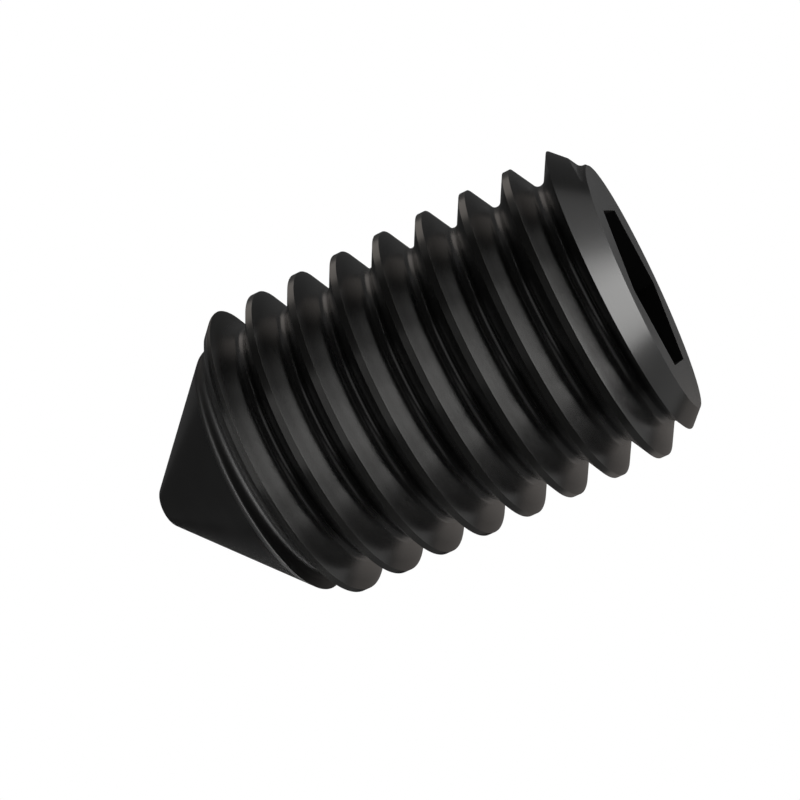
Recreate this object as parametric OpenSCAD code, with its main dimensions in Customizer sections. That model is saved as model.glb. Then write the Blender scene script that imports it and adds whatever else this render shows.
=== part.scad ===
// Grub set screw with a metric thread, a hexagon socket and a cone point.
// It stands on its socket end: Z = 0 is the socket end face and +Z runs to the point.
// All sizes are in millimetres.

/* [Thread] */
// Diameter over the thread crests
thread_d = 11.83; // [11.6:0.01:12.2]
// Distance from one crest to the next
pitch = 1.75; // [1.5:0.05:2]
// Width of the flat land on top of a crest
crest_w = 0.26; // [0.2:0.01:0.35]
// Radius of the rounding at the bottom of the groove
root_round = 0.27; // [0.2:0.01:0.35]
// Height at which the first whole crest crosses the +X side
thread_start = 0.99; // [0:0.01:1.75]

/* [Body] */
// Length from the socket end face to the point
length = 20.1; // [16:0.1:30]
// Diameter of the flat face at the socket end
face_d = 9.65; // [9.2:0.05:10.2]

/* [Cone point] */
// Full angle of the cone
cone_angle = 90; // [80:1:100]
// Diameter of the flat at the very tip
tip_d = 0.8; // [0.4:0.1:2]
// Radius that blends the tip flat into the cone
tip_round = 0.62; // [0.2:0.02:1]

/* [Socket] */
// Width across the flats of the hexagon
socket_af = 6.05; // [5.8:0.01:6.3]
// Depth of the full hexagon
socket_depth = 8; // [4:0.1:9]
// Diameter of the pilot hole whose cone ends the socket
pilot_d = 5.9; // [5:0.1:6]
// Full angle of the pilot hole's cone
pilot_angle = 120; // [90:1:140]

/* [Facets] */
// Straight steps in one turn of the thread
turn_steps = 48; // [24:4:72]
// Straight steps around the rounding of the groove
root_steps = 4; // [2:1:8]
// Straight steps around the rounding of the tip
tip_steps = 4; // [2:1:8]

/* [Hidden] */
$fn = 96;

// The flanks of a metric thread lean 30 degrees from the radius.
flank = 30;
// A cut reaches this far past the face that it opens.
over = 0.5;

thread_r = thread_d / 2;
face_r = face_d / 2;
tip_r = tip_d / 2;
pilot_r = pilot_d / 2;
half_cone = cone_angle / 2;
// The chamfer at the socket end is as high as it is wide.
chamfer_h = thread_r - face_r;

// The cone starts where the tip's rounding leaves off, and runs back to the crests.
blend_r = tip_r + tip_round * cos(half_cone);
blend_z = length - tip_round * (1 - sin(half_cone));
shoulder_z = blend_z - (thread_r - blend_r) / tan(half_cone);

// The two flanks would meet in a sharp edge at vee_r. The rounding fills it up to root_r.
vee_r = thread_r - (pitch - crest_w) / 2 / tan(flank);
round_r = vee_r + root_round / sin(flank);
root_r = round_r - root_round;

// The cutting profile stops outside the crests, where two turns are still apart.
cutter_r = thread_r + crest_w / 2;
cutter_half = (cutter_r - vee_r) * tan(flank);

// Outline of the groove in one plane through the axis, as [radius, height from its middle].
groove_profile = [
    [cutter_r, -cutter_half],
    for (i = [0:root_steps])
        let (a = (90 - flank) * (2 * i / root_steps - 1))
            [round_r - root_round * cos(a), root_round * sin(a)],
    [cutter_r, cutter_half]
];

// The groove begins below the socket end and stops above the line where the cone
// has become thinner than the groove's bottom.
groove_low = thread_start - pitch / 2 - pitch * ceil((thread_start + cutter_half) / pitch);
groove_high = blend_z - (root_r - blend_r) / tan(half_cone) + cutter_half;
groove_steps = ceil((groove_high - groove_low) / pitch * turn_steps);

// Right-hand screw thread: the middle of the groove climbs one pitch in a full turn.
function on_helix(p, step) =
    let (turn = step / turn_steps)
        [p[0] * cos(360 * turn), p[0] * sin(360 * turn), p[1] + groove_low + pitch * turn];

// The groove's volume, as one profile swept along the helix and closed at both ends.
module thread_groove() {
    n = len(groove_profile);
    points = [
        for (step = [0:groove_steps], p = groove_profile) on_helix(p, step)
    ];
    sides = [
        for (step = [0:groove_steps - 1], i = [0:n - 1])
            let (
                a = step * n + i,
                b = step * n + (i + 1) % n
            )
                each [[a, b + n, b], [a, a + n, b + n]]
    ];
    first_end = [for (i = [0:n - 1]) i];
    last_end = [for (i = [n - 1:-1:0]) groove_steps * n + i];
    polyhedron(points, concat(sides, [first_end, last_end]), convexity = 20);
}

// The turned blank: end face, chamfer, crest cylinder, cone and rounded tip.
module blank() {
    rotate_extrude()
        polygon([
            [0, 0],
            [face_r, 0],
            [thread_r, chamfer_h],
            [thread_r, shoulder_z],
            for (i = [0:tip_steps])
                let (a = half_cone + (90 - half_cone) * i / tip_steps)
                    [
                        tip_r + tip_round * cos(a),
                        length - tip_round * (1 - sin(a))
                    ],
            [0, length]
        ]);
}

// The broached hexagon, two of its corners on the Y axis, ending in the pilot hole's cone.
module hex_socket() {
    corner_r = socket_af / sqrt(3);
    rotate([0, 0, 30])
        translate([0, 0, -over])
            cylinder(r = corner_r, h = socket_depth + over, $fn = 6);
    translate([0, 0, socket_depth])
        cylinder(r1 = pilot_r, r2 = 0, h = pilot_r / tan(pilot_angle / 2));
}

module set_screw() {
    color("#2b2a29")
        difference() {
            blank();
            thread_groove();
            hex_socket();
        }
}

set_screw();
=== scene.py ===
# %% [markdown]
# # A black grub screw with a cone point
# This lesson dresses one small machined part. The screw stands on its socket end, with its
# point straight up, and the photograph looks at it from slightly below with the camera
# rolled far over. We load the packed model first, because every size below is measured
# from it or has to agree with it.

# %% Load the packed model
import math

import bpy
import numpy as np
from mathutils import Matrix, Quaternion, Vector


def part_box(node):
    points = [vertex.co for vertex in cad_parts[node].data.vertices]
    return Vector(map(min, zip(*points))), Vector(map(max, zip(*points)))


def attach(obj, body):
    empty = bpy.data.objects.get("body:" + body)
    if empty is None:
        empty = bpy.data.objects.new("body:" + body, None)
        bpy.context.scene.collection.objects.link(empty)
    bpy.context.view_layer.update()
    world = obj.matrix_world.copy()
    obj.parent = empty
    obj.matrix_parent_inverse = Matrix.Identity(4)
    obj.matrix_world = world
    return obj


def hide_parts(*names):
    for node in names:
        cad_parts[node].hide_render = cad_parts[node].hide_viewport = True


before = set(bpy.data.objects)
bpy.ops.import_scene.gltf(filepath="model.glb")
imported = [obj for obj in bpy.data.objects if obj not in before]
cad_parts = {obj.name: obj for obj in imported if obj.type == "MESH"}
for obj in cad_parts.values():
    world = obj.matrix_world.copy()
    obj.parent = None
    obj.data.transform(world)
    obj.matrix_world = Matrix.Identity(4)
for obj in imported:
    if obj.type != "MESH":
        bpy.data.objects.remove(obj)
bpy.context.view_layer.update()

MM = 0.001  # Blender works in metres

# %% [markdown]
# The packed model gives the two sizes that everything else hangs on: the radius over the
# thread crests and the overall length. The rest repeats the drawing of the screw.

# %% Sizes of the screw
low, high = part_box("set_screw")
CREST_R = high.x
LENGTH = high.z
PITCH = 1.75 * MM
CREST_W = 0.26 * MM
ROOT_ROUND = 0.27 * MM
THREAD_START = 0.99 * MM
FLANK = math.radians(30)
FACE_R = 4.825 * MM
TIP_R = 0.4 * MM
TIP_ROUND = 0.62 * MM
HALF_CONE = math.radians(45)
SOCKET_AF = 6.05 * MM
SOCKET_DEPTH = 8 * MM
PILOT_R = 2.95 * MM
HALF_PILOT = math.radians(60)
print(f"over the crests {2 * CREST_R / MM:.2f} mm, length {LENGTH / MM:.2f} mm")

# %% [markdown]
# The photograph was taken with a long lens from close by. The camera looks a little upward
# at the socket end, and it is rolled until the point of the screw lies at the lower left.
# We place it on a line through the middle of the screw, and a tiny lens shift does the rest.

# %% Camera at the photograph's angle
camera_data = bpy.data.cameras.new("camera")
camera = bpy.data.objects.new("camera", camera_data)
bpy.context.scene.collection.objects.link(camera)
bpy.context.scene.camera = camera

camera_distance = 82.26 * MM
camera_azimuth = math.radians(-0.8)
camera_elevation = math.radians(-13.13)
camera_roll = math.radians(-114.99)
camera_data.sensor_width = 36
camera_data.lens = 99.47
camera_data.shift_x = 0.0013
camera_data.shift_y = 0.0006
camera_data.clip_start = 1 * MM
camera_data.clip_end = 10

middle = Vector((0, 0, LENGTH / 2))
back = Vector((
    math.sin(camera_azimuth) * math.cos(camera_elevation),
    -math.cos(camera_azimuth) * math.cos(camera_elevation),
    math.sin(camera_elevation),
))
camera.location = middle + back * camera_distance
level_look = (-back).to_track_quat("-Z", "Y")
camera.rotation_mode = "QUATERNION"
camera.rotation_quaternion = level_look @ Quaternion((0, 0, 1), camera_roll)
print("camera at", [round(v / MM, 1) for v in camera.location], "mm")

# %% [markdown]
# ## The thread
# A rolled thread is one profile, a rounded groove, a straight flank, a narrow land and the
# other flank, carried round the axis while it climbs one pitch per turn. We write half of
# that profile, from the groove's middle to the land's middle, and mirror it. Only the
# rounding needs points in between, because flanks and land are straight.

# %% Profile of one pitch
FLANK_SLOPE = math.pi / 2 - FLANK
ROOT_POINTS = 7

# The two flanks would meet at vee_r. The rounding's centre lies outside that corner.
vee_r = CREST_R - (PITCH - CREST_W) / 2 / math.tan(FLANK)
root_centre_r = vee_r + ROOT_ROUND / math.sin(FLANK)


def half_profile():
    """Points from the groove's middle to the land's middle, as height and radius."""
    points = []
    for turn in np.linspace(0, FLANK_SLOPE, ROOT_POINTS):
        height = ROOT_ROUND * math.sin(turn)
        points.append((height, root_centre_r - ROOT_ROUND * math.cos(turn)))
    points.append(((PITCH - CREST_W) / 2, CREST_R))
    points.append((PITCH / 2, CREST_R))
    return points


rising = half_profile()
falling = [(PITCH - height, radius) for height, radius in reversed(rising)]
profile = np.array(rising + falling[1:])
print(len(profile), "points in one pitch of the profile")

# %% [markdown]
# Three ways of working shape the screw, and each leaves a finish of its own: the thread is
# rolled, the ends are turned and the socket is broached. Every mesh gets all three materials
# in the same order, so that a face keeps its finish when one solid cuts another.

# %% Solids with a finish
FINISHES = ["rolled", "turned", "broached"]
finish_materials = [bpy.data.materials.new(f"{finish}_steel") for finish in FINISHES]


def mesh_object(name, vertices, faces, finish):
    """A mesh object made from lists of points and faces, all with one finish."""
    mesh = bpy.data.meshes.new(name)
    mesh.from_pydata([tuple(v) for v in vertices], [], faces)
    for material in finish_materials:
        mesh.materials.append(material)
    for polygon in mesh.polygons:
        polygon.material_index = FINISHES.index(finish)
    made = bpy.data.objects.new(name, mesh)
    bpy.context.scene.collection.objects.link(made)
    return made


print("finishes:", ", ".join(FINISHES))

# %% [markdown]
# Swept along its helix, the last point of one turn is the first point of the next, so the
# turns share their vertices and the thread is one closed skin with no seam. Both ends are
# closed by a fan to the axis, outside the part of the rod that we keep.

# %% Helical rod
TURN_STEPS = 180
HUB_AWAY = 3 * PITCH  # from the kept part to the hub of each closing fan


def threaded_rod(low_z, high_z):
    """A rod with the thread on it, from below low_z to above high_z."""
    groove_z = THREAD_START - PITCH / 2
    # Spare turns keep the open ends away from the part that stays.
    first_turn = math.floor((low_z - groove_z) / PITCH) - 2
    last_turn = math.ceil((high_z - groove_z) / PITCH) + 1
    steps = (last_turn - first_turn) * TURN_STEPS
    across = len(profile) - 1
    vertices = []
    # Above the last turn only the groove's middle goes on, as that turn's upper edge.
    for step in range(steps + TURN_STEPS + 1):
        angle = 2 * math.pi * step / TURN_STEPS
        height = groove_z + PITCH * (first_turn + step / TURN_STEPS)
        along = profile[:across] if step <= steps else profile[:1]
        for rise, radius in along:
            x, y = radius * math.cos(angle), radius * math.sin(angle)
            vertices.append((x, y, height + rise))

    def index(step, point):
        """Number of a vertex. The profile's last point is the next turn's first."""
        if point == across:
            step, point = step + TURN_STEPS, 0
        if step <= steps:
            return step * across + point
        return (steps + 1) * across + step - steps - 1

    faces = [
        (index(s, p), index(s + 1, p), index(s + 1, p + 1), index(s, p + 1))
        for s in range(steps)
        for p in range(across)
    ]
    bottom = [index(s, 0) for s in range(TURN_STEPS + 1)]
    bottom += [index(0, p) for p in range(across - 1, 0, -1)]
    top = [index(steps + s, 0) for s in range(TURN_STEPS, -1, -1)]
    top += [index(steps, p) for p in range(1, across)]
    for ring, z in ((bottom, low_z - HUB_AWAY), (top, high_z + HUB_AWAY)):
        hub = len(vertices)
        vertices.append((0, 0, z))
        faces += [(hub, b, a) for a, b in zip(ring, ring[1:] + ring[:1])]
    return mesh_object("threaded_rod", vertices, faces, "rolled")


rod = threaded_rod(0, LENGTH)
print("rod:", len(rod.data.polygons), "faces")

# %% [markdown]
# ## The turned outline
# On the lathe the rod gets its end face, the chamfer beside it and the cone point. We spin
# that outline into a solid that stands clear outside the crests, and keep only what lies
# inside both solids. The line where the cone cuts the thread is then exact. The cone gets
# close rings where it meets the thread, because its edge is softened further down and the
# blend needs vertices to move.

# %% Turned envelope
SPIN_STEPS = 256
TIP_STEPS = 8
CLEAR = 0.5 * MM
RINGS_FROM, RINGS_TO, RING_STEP = 5.95, 4.55, 0.05  # radii in millimetres

blend_r = TIP_R + TIP_ROUND * math.cos(HALF_CONE)
blend_z = LENGTH - TIP_ROUND * (1 - math.sin(HALF_CONE))
outer_r = CREST_R + CLEAR
outline = [(FACE_R, 0), (outer_r, outer_r - FACE_R)]
for radius in [outer_r, *np.arange(RINGS_FROM, RINGS_TO, -RING_STEP) * MM]:
    outline.append((radius, blend_z - (radius - blend_r) / math.tan(HALF_CONE)))
for turn in np.linspace(HALF_CONE, math.pi / 2, TIP_STEPS + 1):
    radius = TIP_R + TIP_ROUND * math.cos(turn)
    outline.append((radius, LENGTH - TIP_ROUND * (1 - math.sin(turn))))


def spun(name, rings, finish):
    """A closed solid of revolution through rings of (radius, height), with flat ends."""
    angles = [2 * math.pi * s / SPIN_STEPS for s in range(SPIN_STEPS)]
    vertices = [
        (radius * math.cos(a), radius * math.sin(a), z)
        for radius, z in rings
        for a in angles
    ]
    faces = []
    for ring in range(len(rings) - 1):
        start = ring * SPIN_STEPS
        for s in range(SPIN_STEPS):
            a, b = start + s, start + (s + 1) % SPIN_STEPS
            faces.append((a, b, b + SPIN_STEPS, a + SPIN_STEPS))
    last = (len(rings) - 1) * SPIN_STEPS
    faces.append(tuple(reversed(range(SPIN_STEPS))))
    faces.append(tuple(range(last, last + SPIN_STEPS)))
    return mesh_object(name, vertices, faces, finish)


envelope = spun("envelope", outline, "turned")
print("envelope:", len(envelope.data.polygons), "faces")

# %% [markdown]
# ## The hexagon socket
# A broach leaves six flat walls, and the pilot hole under it leaves a shallow cone. The
# walls meet in sharp corners at the mouth, with no countersink. Both cutters are closed
# solids, and the cone ends in a tiny flat so that it can be spun like the envelope.

# %% Socket cutters
PILOT_TIP_R = 0.02 * MM

corner_r = SOCKET_AF / math.sqrt(3)


def hexagon(z):
    """Six corners at one height, two of them on the Y axis."""
    turns = [math.radians(30 + 60 * i) for i in range(6)]
    return [(corner_r * math.cos(t), corner_r * math.sin(t), z) for t in turns]


socket_vertices = hexagon(-CLEAR) + hexagon(SOCKET_DEPTH)
socket_faces = [(i, (i + 1) % 6, (i + 1) % 6 + 6, i + 6) for i in range(6)]
socket_faces += [tuple(reversed(range(6))), tuple(range(6, 12))]
socket = mesh_object("socket", socket_vertices, socket_faces, "broached")
pilot_depth = PILOT_R / math.tan(HALF_PILOT)
pilot = spun("pilot", [
    (PILOT_R, SOCKET_DEPTH - CLEAR),
    (PILOT_R, SOCKET_DEPTH),
    (PILOT_TIP_R, SOCKET_DEPTH + pilot_depth),
], "broached")
print("socket:", len(socket.data.polygons), "faces, pilot:", len(pilot.data.polygons))

# %% [markdown]
# Boolean modifiers now do what the machines do. The envelope keeps what the lathe leaves of
# the rod, and the two cutters open the socket. The manifold solver is quick and exact with
# closed solids, and the cut faces bring along the finish of the tool that made them.

# %% Cut the screw out


def combined(base, tool, operation):
    """Base cut by tool with an exact boolean, and the tool removed."""
    cut = base.modifiers.new("cut", "BOOLEAN")
    cut.operation = operation
    cut.object = tool
    cut.solver = "MANIFOLD"
    cut.material_mode = "INDEX"
    depsgraph = bpy.context.evaluated_depsgraph_get()
    mesh = bpy.data.meshes.new_from_object(base.evaluated_get(depsgraph))
    base.modifiers.clear()
    base.data = mesh
    bpy.data.objects.remove(tool)
    return base


screw = combined(rod, envelope, "INTERSECT")
screw = combined(screw, socket, "DIFFERENCE")
screw = combined(screw, pilot, "DIFFERENCE")
screw.name = "screw_body"
print("screw:", len(screw.data.polygons), "faces,", len(screw.data.vertices), "vertices")

# %% [markdown]
# ## A soft lip where the thread runs out
# On the real screw the thread ends in a shallow groove on the cone, and its lip is rolled
# over, not sharp. A bevel would have to follow a curve that hundreds of small faces cut up.
# But both surfaces have simple formulas, so we can work with distances instead: how far a
# point is outside the cone, and how far it is outside the thread.

# %% Distance to the cone


def polar(points):
    """Angle round the axis and distance from it."""
    return np.arctan2(points[:, 1], points[:, 0]), np.hypot(points[:, 0], points[:, 1])


def around_axis(points, outward, upward, lead):
    """Vectors from their outward and upward parts, at the place of each point. A lead
    above zero leans them as the slopes of a helix with that rise per turn."""
    angle, radius = polar(points)
    sideways = -upward * lead / (2 * math.pi * radius)
    across = outward * np.cos(angle) - sideways * np.sin(angle)
    forward = outward * np.sin(angle) + sideways * np.cos(angle)
    return np.stack([across, forward, upward], axis=1)


def cone_distance(points):
    """Distance outside the cone, and the direction away from it."""
    _, radius = polar(points)
    outward, upward = math.cos(HALF_CONE), math.sin(HALF_CONE)
    distance = (radius - blend_r) * outward + (points[:, 2] - blend_z) * upward
    ones = np.ones(len(points))
    return distance, around_axis(points, outward * ones, upward * ones, 0)


on_cone = np.array([[blend_r, 0, blend_z]])
print("a point on the cone is", cone_distance(on_cone)[0][0] / MM, "mm outside it")

# %% [markdown]
# The thread's distance is measured in the plane through the axis. There a point sees the
# groove's rounding, a straight flank or the land, whichever is the outermost at its place.

# %% Distance to the thread


def thread_distance(points):
    """Distance outside the thread, and the direction away from it."""
    angle, radius = polar(points)
    climbed = points[:, 2] - PITCH * angle / (2 * math.pi) - THREAD_START
    height = climbed % PITCH - PITCH / 2
    inward = root_centre_r - radius
    round_gap = np.hypot(inward, height)
    in_round = np.abs(height) < inward * math.tan(FLANK_SLOPE)
    flank = (radius - vee_r) * math.sin(FLANK) - np.abs(height) * math.cos(FLANK)
    groove = np.where(in_round, ROOT_ROUND - round_gap, flank)
    outward = np.where(in_round, inward / round_gap, math.sin(FLANK))
    upward = np.where(in_round, -height / round_gap, -np.sign(height) * math.cos(FLANK))
    land = radius - CREST_R
    on_land = land > groove
    distance = np.where(on_land, land, groove)
    outward, upward = np.where(on_land, 1, outward), np.where(on_land, 0, upward)
    return distance, around_axis(points, outward, upward, PITCH)


on_crest = np.array([[CREST_R, 0, THREAD_START]])
print("a point on a crest is", thread_distance(on_crest)[0][0] / MM, "mm outside it")

# %% [markdown]
# The cut screw is where the larger of both distances is zero, and the jump from one to the
# other is its sharp edge. A smooth maximum takes that edge away: where the two distances
# differ by less than the reach, it lies a little above both. The blend fades out toward the
# crest, whose corner stays crisp. Each vertex near the lip slides down the smooth distance
# until it is zero there, in a few Newton steps.

# %% Soften the lip
LIP_REACH = 0.25 * MM
LIP_STARTS_R = 5.22 * MM  # no lip outside this radius
LIP_FULL_R = 4.95 * MM  # the full reach inside this one
LEAST_GROWN = 0.001  # keeps the reach above zero everywhere
ON_SURFACE = 0.003 * MM  # only vertices as near as this to the cut surface are moved
NEWTON_STEPS = 4


def lip_distance(points):
    """Smooth maximum of both distances, its gradient, and where the lip reaches."""
    cone, from_cone = cone_distance(points)
    thread, from_thread = thread_distance(points)
    _, radius = polar(points)
    grown = np.clip((LIP_STARTS_R - radius) / (LIP_STARTS_R - LIP_FULL_R), LEAST_GROWN, 1)
    reach = LIP_REACH * grown
    near = np.clip(1 - np.abs(cone - thread) / reach, 0, 1)
    share = np.clip(0.5 + (cone - thread) / (2 * reach), 0, 1)[:, None]
    gradient = from_cone * share + from_thread * (1 - share)
    blended = (near > 0) & (radius < LIP_STARTS_R)
    return np.maximum(cone, thread) + near ** 2 * reach / 4, gradient, blended


def vertex_places(mesh):
    """All vertices of a mesh as rows of x, y and z."""
    places = np.zeros(len(mesh.vertices) * 3)
    mesh.vertices.foreach_get("co", places)
    return places.reshape(-1, 3)


def soften_lip(mesh):
    """Moves the vertices near the lip, and returns which they are."""
    points = vertex_places(mesh)
    sharp = np.maximum(cone_distance(points)[0], thread_distance(points)[0])
    on_lip = (np.abs(sharp) < ON_SURFACE) & lip_distance(points)[2]
    moved = points[on_lip]
    for _ in range(NEWTON_STEPS):
        distance, gradient, _ = lip_distance(moved)
        moved = moved - gradient * (distance / (gradient ** 2).sum(axis=1))[:, None]
    points[on_lip] = moved
    mesh.vertices.foreach_set("co", points.ravel())
    mesh.update()
    return on_lip


on_lip = soften_lip(screw.data)
print(on_lip.sum(), "vertices moved to round the lip")

# %% [markdown]
# ## Exact normals
# A boolean leaves long thin faces beside each cut, and averaged normals make dark stains
# there. The thread, the cone and the chamfer all have simple formulas, so we give every
# corner of every face the normal that the real surface has at that point.

# %% Normals of the rolled and the turned surfaces
FLATTEST_CONE = 0.01  # a turned face that leans outward less than this is a flat


def profile_slope(height):
    """The profile's slope angle at a height inside one pitch."""
    from_root = np.minimum(height, PITCH - height)
    slope = np.arcsin(np.clip(from_root / ROOT_ROUND, 0, 1))
    slope = np.minimum(slope, FLANK_SLOPE)
    slope[from_root > (PITCH - CREST_W) / 2] = 0
    return np.where(height < PITCH / 2, slope, -slope)


def thread_normals(points, nudged):
    """The helical surface's own normal at points on it. The nudged points lie a little
    inside their face, and tell which side of a sharp corner the face is on."""
    inner_angle, _ = polar(nudged)
    climbed = nudged[:, 2] - PITCH * inner_angle / (2 * math.pi)
    slope = profile_slope((climbed - THREAD_START + PITCH / 2) % PITCH)
    return around_axis(points, np.cos(slope), -np.sin(slope), PITCH)


def turned_normals(points, face_normals):
    """The normal of the lathe's surfaces: end face and chamfer as they are, the cone by its
    angle and the tip rounded."""
    (_, radius), z = polar(points), points[:, 2]
    outward = np.hypot(face_normals[:, 0], face_normals[:, 1])
    upward = face_normals[:, 2].copy()
    cone = (z > LENGTH / 2) & (outward > FLATTEST_CONE)
    outward[cone], upward[cone] = math.cos(HALF_CONE), math.sin(HALF_CONE)
    rounded = cone & (z > blend_z)
    outward[rounded] = np.maximum(radius - TIP_R, 0)[rounded]
    upward[rounded] = (z - LENGTH + TIP_ROUND)[rounded]
    return around_axis(points, outward, upward, 0)


print("slope of the flanks:", round(math.degrees(FLANK_SLOPE)), "degrees")

# %% [markdown]
# Blender keeps one normal for each corner of each face, so a sharp edge simply has two
# different normals at one vertex. The socket's walls are flat and keep their own. On the lip
# the gradient of the smooth distance is the normal.

# %% Write the normals
NUDGE = 0.02  # share of the way from a corner to the middle of its face


def set_normals(mesh):
    """Writes a normal for each corner of each face."""
    corner_vertex = np.zeros(len(mesh.loops), int)
    mesh.loops.foreach_get("vertex_index", corner_vertex)
    points = vertex_places(mesh)[corner_vertex]
    owner = np.zeros(len(mesh.loops), int)
    for face, polygon in enumerate(mesh.polygons):
        owner[polygon.loop_start:polygon.loop_start + polygon.loop_total] = face
    face_normals = np.array([p.normal for p in mesh.polygons])[owner]
    centres = np.array([p.center for p in mesh.polygons])[owner]
    nudged = points + (centres - points) * NUDGE
    finish = np.array([p.material_index for p in mesh.polygons])[owner]
    rolled = finish == FINISHES.index("rolled")
    turned = finish == FINISHES.index("turned")
    blended = on_lip[corner_vertex]
    normals = face_normals.copy()
    normals[rolled] = thread_normals(points[rolled], nudged[rolled])
    normals[turned] = turned_normals(points[turned], face_normals[turned])
    normals[blended] = lip_distance(points[blended])[1]
    normals /= np.linalg.norm(normals, axis=1)[:, None]
    agree = (normals * face_normals).sum(axis=1)
    mesh.normals_split_custom_set([tuple(n) for n in normals])
    return agree.min(), agree.mean()


least, mean = set_normals(screw.data)
print(f"normals agree with the faces: least {least:.3f}, mean {mean:.5f}")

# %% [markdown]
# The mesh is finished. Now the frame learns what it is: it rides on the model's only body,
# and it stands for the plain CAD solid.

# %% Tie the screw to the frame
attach(screw, "root")
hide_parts("set_screw")
print("screw rides on root and replaces the plain solid")

# %% [markdown]
# ## Arithmetic for shaders
# A material is a graph of nodes, and most of ours only add, scale or compare numbers. This
# small class wraps one output socket, so that such a step is an ordinary expression and
# Python adds the Math node for it. Every other node comes from its one method, node().

# %% A socket that understands arithmetic


class Wire:
    """An output socket in a material's node tree."""

    def __init__(self, tree, socket=None):
        self.tree = tree
        self.socket = socket

    def node(self, kind, settings=None, inputs=None, output=0):
        """Adds a node: its settings first, then the values or links of its sockets."""
        made = self.tree.nodes.new(kind)
        for name, value in (settings or {}).items():
            setattr(made, name, value)
        for name, value in (inputs or {}).items():
            if isinstance(value, Wire):
                self.tree.links.new(value.socket, made.inputs[name])
            else:
                made.inputs[name].default_value = value
        return Wire(self.tree, made.outputs[output] if made.outputs else None)

    def math(self, operation, *values):
        """A Math node on these values."""
        inputs = dict(enumerate(values))
        return self.node("ShaderNodeMath", {"operation": operation}, inputs)

    def ramp(self, start, end):
        """0 at start, 1 at end, straight in between and level beyond."""
        inputs = {"Value": self, "From Min": start, "From Max": end}
        return self.node("ShaderNodeMapRange", inputs=inputs)

    def __add__(self, other):
        return self.math("ADD", self, other)

    def __sub__(self, other):
        return self.math("SUBTRACT", self, other)

    def __rsub__(self, other):
        return self.math("SUBTRACT", other, self)

    def __mul__(self, other):
        return self.math("MULTIPLY", self, other)

    def __mod__(self, other):
        return self.math("FLOORED_MODULO", self, other)

    def __rmod__(self, other):
        return self.math("FLOORED_MODULO", other, self)

    __radd__ = __add__
    __rmul__ = __mul__


print("reflected operators:", [name for name in vars(Wire) if name.startswith("__r")])

# %% [markdown]
# Patterns need to know where on the screw a point is. Object coordinates are the screw's
# own, in metres, so we turn them into millimetres once. From them come the distance from
# the axis, the height inside one pitch, which is the same all along the helix, and the gap
# to the groove's rounding, which tells the lip from the rest of the cone.

# %% Coordinates on the screw


class Place:
    """Where a shading point lies on the screw, in millimetres."""

    def __init__(self, tree):
        start = Wire(tree)
        metres = start.node("ShaderNodeTexCoord", output="Object")
        point = start.node(
            "ShaderNodeVectorMath", {"operation": "SCALE"}, {0: metres, "Scale": 1 / MM})
        parts = start.node("ShaderNodeSeparateXYZ", inputs={0: point}).socket.node.outputs
        self.x, self.y, self.z = (Wire(tree, parts[axis]) for axis in "XYZ")
        self.radius = start.math("SQRT", self.x * self.x + self.y * self.y)
        angle = start.math("ARCTAN2", self.y, self.x)
        climb = angle * (PITCH / MM / (2 * math.pi))
        self.in_pitch = (self.z - climb - THREAD_START / MM) % (PITCH / MM)
        outward = self.radius - root_centre_r / MM
        along = self.in_pitch - PITCH / MM / 2
        centre_gap = start.math("SQRT", outward * outward + along * along)
        self.groove_gap = centre_gap - ROOT_ROUND / MM

    def noise(self, x, y, z, detail):
        """Soft noise between 0 and 1 over the coordinates given."""
        vector = self.x.node("ShaderNodeCombineXYZ", inputs={"X": x, "Y": y, "Z": z})
        inputs = {"Vector": vector, "Scale": 1.0, "Detail": detail}
        return self.x.node("ShaderNodeTexNoise", inputs=inputs)


print("one pitch of the pattern:", PITCH / MM, "mm")

# %% [markdown]
# ## Black oxide on steel
# Black oxide is a thin layer of magnetite, which reflects light as a dark metal does, so
# the shader is a metal with a dark, faintly warm colour. The layer's thickness wanders a
# little, which shows as soft clouds in colour and in gloss. The three ways the surface was
# made leave three kinds of marks under it: rolling leaves fine lines along the thread,
# turning leaves rings round the axis and broaching leaves lines down the socket's walls.
# Each kind is a stretched noise in a Bump node, far too shallow to be seen as a shape.

# %% Clouds and marks
CLOUD_SIZE = 1.6  # in millimetres, as are the spacings of the marks
CLOUD_DETAIL = 3.0
CLOUD_ROUGHER = 0.05
MARK_SPACING = {"rolled": 0.11, "turned": 0.09, "broached": 0.12}
MARK_DEPTH = {"rolled": 0.00012, "turned": 0.00010, "broached": 0.0006}
MARK_LENGTH = 4.0
MARK_DETAIL = 2.0
MARK_ROUGHER = 0.03


def oxide_clouds(place):
    """Slow changes in the thickness of the layer."""
    size = 1 / CLOUD_SIZE
    return place.noise(place.x * size, place.y * size, place.z * size, CLOUD_DETAIL)


def tool_marks(place, finish):
    """Noise drawn out along the marks that this way of working leaves."""
    fine, slow = 1 / MARK_SPACING[finish], 1 / MARK_LENGTH
    if finish == "rolled":
        return place.noise(place.x * slow, place.y * slow, place.in_pitch * fine, MARK_DETAIL)
    if finish == "turned":
        return place.noise(place.x * slow, place.y * slow, place.radius * fine, MARK_DETAIL)
    return place.noise(place.x * fine, place.y * fine, place.z * slow, MARK_DETAIL)


print("marks every", MARK_SPACING["rolled"], "mm on the thread")
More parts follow.
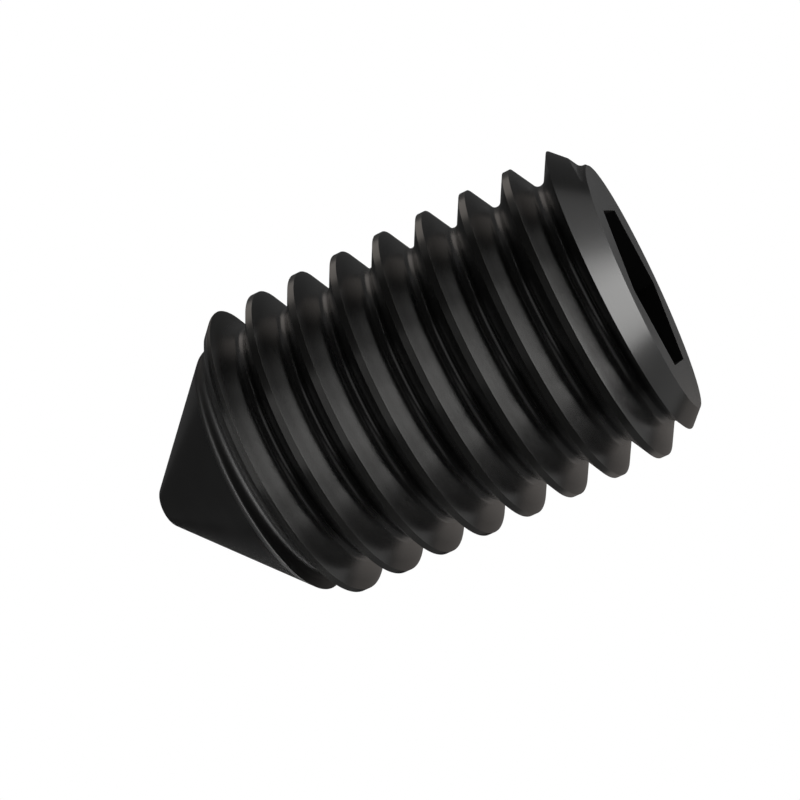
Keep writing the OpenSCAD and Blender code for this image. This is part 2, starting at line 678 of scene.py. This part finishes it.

# %% [markdown]
# Colour and roughness change from place to place. The inner part of the flank that faces
# the socket is painted lighter near the root, painted light that makes up for the shade
# deep in the groove. The crests are painted paler and a little warmer as a painted glint,
# and the root itself is not quite as smooth as the flanks. Where the thread runs out on the
# cone the surface is rougher, and its colour is darker, painted shade that dims the lamps'
# reflection there, on the lip as well as in the groove. Each place is a ramp over one of the
# coordinates, and two ramps are multiplied to cut out a band.

# %% Places with other roughness or painted light
ROOT_RAMP = (5.10, 4.95)  # radius, and all of these in millimetres
CREST_RAMP = (5.895, 5.91)
# Painted light: a lighter colour on the inner flank that faces the socket.
PAINTED_LIGHT_RAMPS = (1.45, 1.12), (0.80, 1.10)  # height inside one pitch
TIP_SIDE_RAMP = (0.60, 0.80)
RUN_OUT_RAMP = (14.35, 14.95)  # height on the screw
LIP_RAMP = (0.40, 0.20)  # gap to the groove's rounding


def flank_painted_light(place):
    """The inner part of the flank that faces the socket, where light is painted on."""
    upper, lower = PAINTED_LIGHT_RAMPS
    return place.in_pitch.ramp(*upper) * place.in_pitch.ramp(*lower)


def run_out(place, finish):
    """The tip side of the groove's last bit, or the part of the cone beside it."""
    if finish == "turned":
        beside = place.groove_gap.ramp(*LIP_RAMP)
    else:
        beside = place.in_pitch.ramp(*TIP_SIDE_RAMP)
    return place.z.ramp(*RUN_OUT_RAMP) * beside


print("the thread runs out above", RUN_OUT_RAMP[0], "mm")

# %% [markdown]
# With the places known, the shader is a chain of mixes for the colour and a sum for the
# roughness. The socket's walls are the dullest of all, as the broach tears the steel a
# little, and they need nothing but their own colour.

# %% Finish of the steel
OXIDE = (0.198, 0.197, 0.195, 1)
OXIDE_THIN = (0.206, 0.205, 0.202, 1)
# Painted shade: a darker colour where the thread runs out, against the lamps' reflection.
OXIDE_PAINTED_SHADE = (0.100, 0.099, 0.098, 1)
# Painted light: a lighter colour near the root of the flank that faces the socket.
OXIDE_PAINTED_LIGHT = (0.380, 0.378, 0.374, 1)
# Painted glint: a paler, warmer colour on the crests.
OXIDE_PAINTED_GLINT = (0.280, 0.277, 0.268, 1)
SOCKET_OXIDE = (0.150, 0.149, 0.147, 1)
ROUGHNESS = {"rolled": 0.23, "turned": 0.25, "broached": 0.40}
ROOT_ROUGHER = 0.04
RUN_OUT_ROUGHER = 0.22


def mixed(share, first, second):
    """A mix of two colours, the second where share is 1."""
    inputs = {0: share, 6: first, 7: second}
    return share.node("ShaderNodeMix", {"data_type": "RGBA"}, inputs, output=2)


def oxide_material(material, finish):
    """Fills one of the screw's materials with the black oxide shader."""
    material.use_nodes = True
    tree = material.node_tree
    tree.nodes.clear()
    place = Place(tree)
    clouds, marks = oxide_clouds(place), tool_marks(place, finish)
    roughness = ROUGHNESS[finish] + (clouds - 0.5) * CLOUD_ROUGHER
    roughness = roughness + (marks - 0.5) * MARK_ROUGHER
    if finish == "broached":
        colour = SOCKET_OXIDE
    else:
        colour = mixed(clouds, OXIDE, OXIDE_THIN)
    if finish == "rolled":
        roughness = roughness + place.radius.ramp(*ROOT_RAMP) * ROOT_ROUGHER
        # Painted light near the root of the flank that faces the socket.
        colour = mixed(flank_painted_light(place), colour, OXIDE_PAINTED_LIGHT)
        # Painted glint on the crests.
        colour = mixed(place.radius.ramp(*CREST_RAMP), colour, OXIDE_PAINTED_GLINT)
    if finish != "broached":
        # Rougher where the thread runs out, and darker there as painted shade.
        rougher_and_shaded = run_out(place, finish)
        roughness = roughness + rougher_and_shaded * RUN_OUT_ROUGHER
        colour = mixed(rougher_and_shaded, colour, OXIDE_PAINTED_SHADE)
    bump = marks.node("ShaderNodeBump", inputs={
        "Strength": 1.0,
        "Distance": MARK_DEPTH[finish] * MM,
        "Height": marks,
    })
    shader = marks.node("ShaderNodeBsdfPrincipled", inputs={
        "Base Color": colour,
        "Metallic": 1.0,
        "Roughness": roughness,
        "Normal": bump,
    })
    shader.node("ShaderNodeOutputMaterial", inputs={"Surface": shader})


for finish, material in zip(FINISHES, finish_materials):
    oxide_material(material, finish)
    print(finish, "steel:", len(material.node_tree.nodes), "nodes")

# %% [markdown]
# ## Background and floor
# The photograph's background is plain white. Here it is the world's colour for camera rays,
# at a strength of 1. The black metal in the photograph shows hardly anything of it, as if
# dark cards stood around the screw, so reflected rays see it at only a small share of that.

# %% World
METAL_SEES = 0.01

world = bpy.data.worlds.new("studio")
bpy.context.scene.world = world
world.use_nodes = True
world.node_tree.nodes.clear()
sky = Wire(world.node_tree)
sky_rays = sky.node("ShaderNodeLightPath").socket.node.outputs
sky_camera = Wire(sky.tree, sky_rays["Is Camera Ray"])
sky_glossy = Wire(sky.tree, sky_rays["Is Glossy Ray"])
backdrop = sky.node("ShaderNodeBackground", inputs={
    "Color": (1, 1, 1, 1),
    "Strength": sky_camera + sky_glossy * METAL_SEES,
})
sky.node("ShaderNodeOutputWorld", inputs={"Surface": backdrop})
bpy.context.scene.view_settings.view_transform = "Standard"
print("background strength 1 for the camera,", METAL_SEES, "for the metal")

# %% [markdown]
# The floor is a wide disc that lies just under the end face. It is staging, no part of the
# screw.

# %% Floor disc
FLOOR_RADIUS = 1.5
FLOOR_SIDES = 96
FLOOR_DROP = 0.02 * MM

floor_mesh = bpy.data.meshes.new("floor")
turns = [2 * math.pi * step / FLOOR_SIDES for step in range(FLOOR_SIDES)]
rim = [(FLOOR_RADIUS * math.cos(t), FLOOR_RADIUS * math.sin(t), -FLOOR_DROP) for t in turns]
floor_mesh.from_pydata(rim, [], [tuple(range(FLOOR_SIDES))])
floor = bpy.data.objects.new("floor", floor_mesh)
bpy.context.scene.collection.objects.link(floor)
print("floor radius", FLOOR_RADIUS, "m")

# %% [markdown]
# The main camera looks up from below the floor, so its lower side lets rays through. From
# above it is an ordinary pale floor that keeps the screw's shadow. A share of plain white
# for camera rays keeps it light, and that share grows with the distance until the floor has
# faded into the background, as a paper sweep does. It lets the light of the lamps below it
# through, which stands for light thrown back by a bright table, and it lets reflections in
# the metal through, which keeps the dark parts of the screw dark.

# %% Floor material
FLOOR_COLOUR = (0.86, 0.86, 0.86, 1)
FLOOR_GLOW = 0.5
FADE_START = 0.08
FADE_END = 0.5

floor_material = bpy.data.materials.new("pale_floor")
floor_material.use_nodes = True
floor_material.node_tree.nodes.clear()
floor_mesh.materials.append(floor_material)
ground = Wire(floor_material.node_tree)
rays = ground.node("ShaderNodeLightPath").socket.node.outputs
camera_ray = Wire(ground.tree, rays["Is Camera Ray"])
shadow_ray = Wire(ground.tree, rays["Is Shadow Ray"])
glossy_ray = Wire(ground.tree, rays["Is Glossy Ray"])
below = ground.node("ShaderNodeNewGeometry", output="Backfacing")
spot = ground.node("ShaderNodeTexCoord", output="Object")
away = ground.node("ShaderNodeVectorMath", {"operation": "LENGTH"}, {0: spot}, output=1)
far = away.ramp(FADE_START, FADE_END)
glow_share = camera_ray * (FLOOR_GLOW + far * (1 - FLOOR_GLOW))
matt = ground.node("ShaderNodeBsdfDiffuse", inputs={"Color": FLOOR_COLOUR})
glow = ground.node("ShaderNodeEmission", inputs={"Color": (1, 1, 1, 1), "Strength": 1.0})
clear = ground.node("ShaderNodeBsdfTransparent")
lit = ground.node("ShaderNodeMixShader", inputs={0: glow_share, 1: matt, 2: glow})
let_through = ground.math("MAXIMUM", ground.math("MAXIMUM", shadow_ray, glossy_ray), below)
surface = ground.node("ShaderNodeMixShader", inputs={0: let_through, 1: lit, 2: clear})
ground.node("ShaderNodeOutputMaterial", inputs={"Surface": surface})
print("floor material:", len(floor_material.node_tree.nodes), "nodes")

# %% [markdown]
# ## Soft boxes
# A dark metal shows what stands around it, so its look is the arrangement of the lamps.
# Each soft box is given as the metal sees it: the direction of its middle, its width and
# height as angles, and its radiance, where 1 is as bright as white paper. A row of bright
# ones above shines into the grooves, where the light bounces on to the flanks that face the
# socket. Those below light the chamfer, the one behind lights the end face, and two warm
# ones give the crests and roots a brownish tone.

# %% Lamps
LAMP_DISTANCE = 0.4
WHITE = (1, 1, 1)
WARM = (1.08, 0.99, 0.93)

# azimuth, elevation, width and height in degrees, radiance, colour
SOFT_BOXES = {
    "upper_far_left": (-118, 40, 34, 16, 5.3, WHITE),
    "upper_left": (-80, 43, 36, 16, 2.6, WHITE),
    "upper_middle_left": (-40, 50, 28, 18, 3.15, WHITE),
    "upper_middle": (0, 50, 26, 16, 2.8, WHITE),
    "upper_right": (40, 48, 28, 16, 1.7, WHITE),
    "upper_far_right": (80, 40, 28, 16, 0.65, WHITE),
    "upper_wide": (13, 45, 60, 60, 0.15, WHITE),
    "over_cone": (150, 72, 50, 50, 0.02, WHITE),
    "under_front": (-34, -39, 56, 56, 0.05, WHITE),
    "under_left": (-50, -85, 27, 27, 1.57, WHITE),
    "under_far_right": (111, -65, 50, 50, 0.2, WHITE),
    "under_back": (164, -71, 38, 38, 1.68, WHITE),
    "under_back_left": (-152, -58, 50, 50, 0.2, WHITE),
    "back_right_wide": (133, 8, 80, 80, 0.045, WHITE),
    "back_right": (127, 14, 30, 30, 0.26, WARM),
    "back": (174, -19, 18, 18, 0.19, WHITE),
    "back_left": (-157, -9, 40, 40, 0.13, WARM),
    "back_left_wide": (-122, 2, 60, 60, 0.04, WHITE),
}


def soft_box(name, azimuth, elevation, wide, tall, radiance, colour):
    """A rectangular area lamp that faces the screw. Azimuth 0 is in front."""
    turn, rise = math.radians(azimuth), math.radians(elevation)
    toward = Vector((
        math.sin(turn) * math.cos(rise),
        -math.cos(turn) * math.cos(rise),
        math.sin(rise),
    ))
    lamp = bpy.data.lights.new(name, "AREA")
    lamp.shape = "RECTANGLE"
    lamp.size = 2 * LAMP_DISTANCE * math.tan(math.radians(wide / 2))
    lamp.size_y = 2 * LAMP_DISTANCE * math.tan(math.radians(tall / 2))
    lamp.energy = radiance * math.pi * lamp.size * lamp.size_y
    lamp.color = colour
    holder = bpy.data.objects.new(name, lamp)
    holder.location = middle + toward * LAMP_DISTANCE
    holder.rotation_mode = "QUATERNION"
    holder.rotation_quaternion = toward.to_track_quat("Z", "Y")
    bpy.context.scene.collection.objects.link(holder)


for name, settings in SOFT_BOXES.items():
    soft_box(name, *settings)
print(len(SOFT_BOXES), "soft boxes")

# %% [markdown]
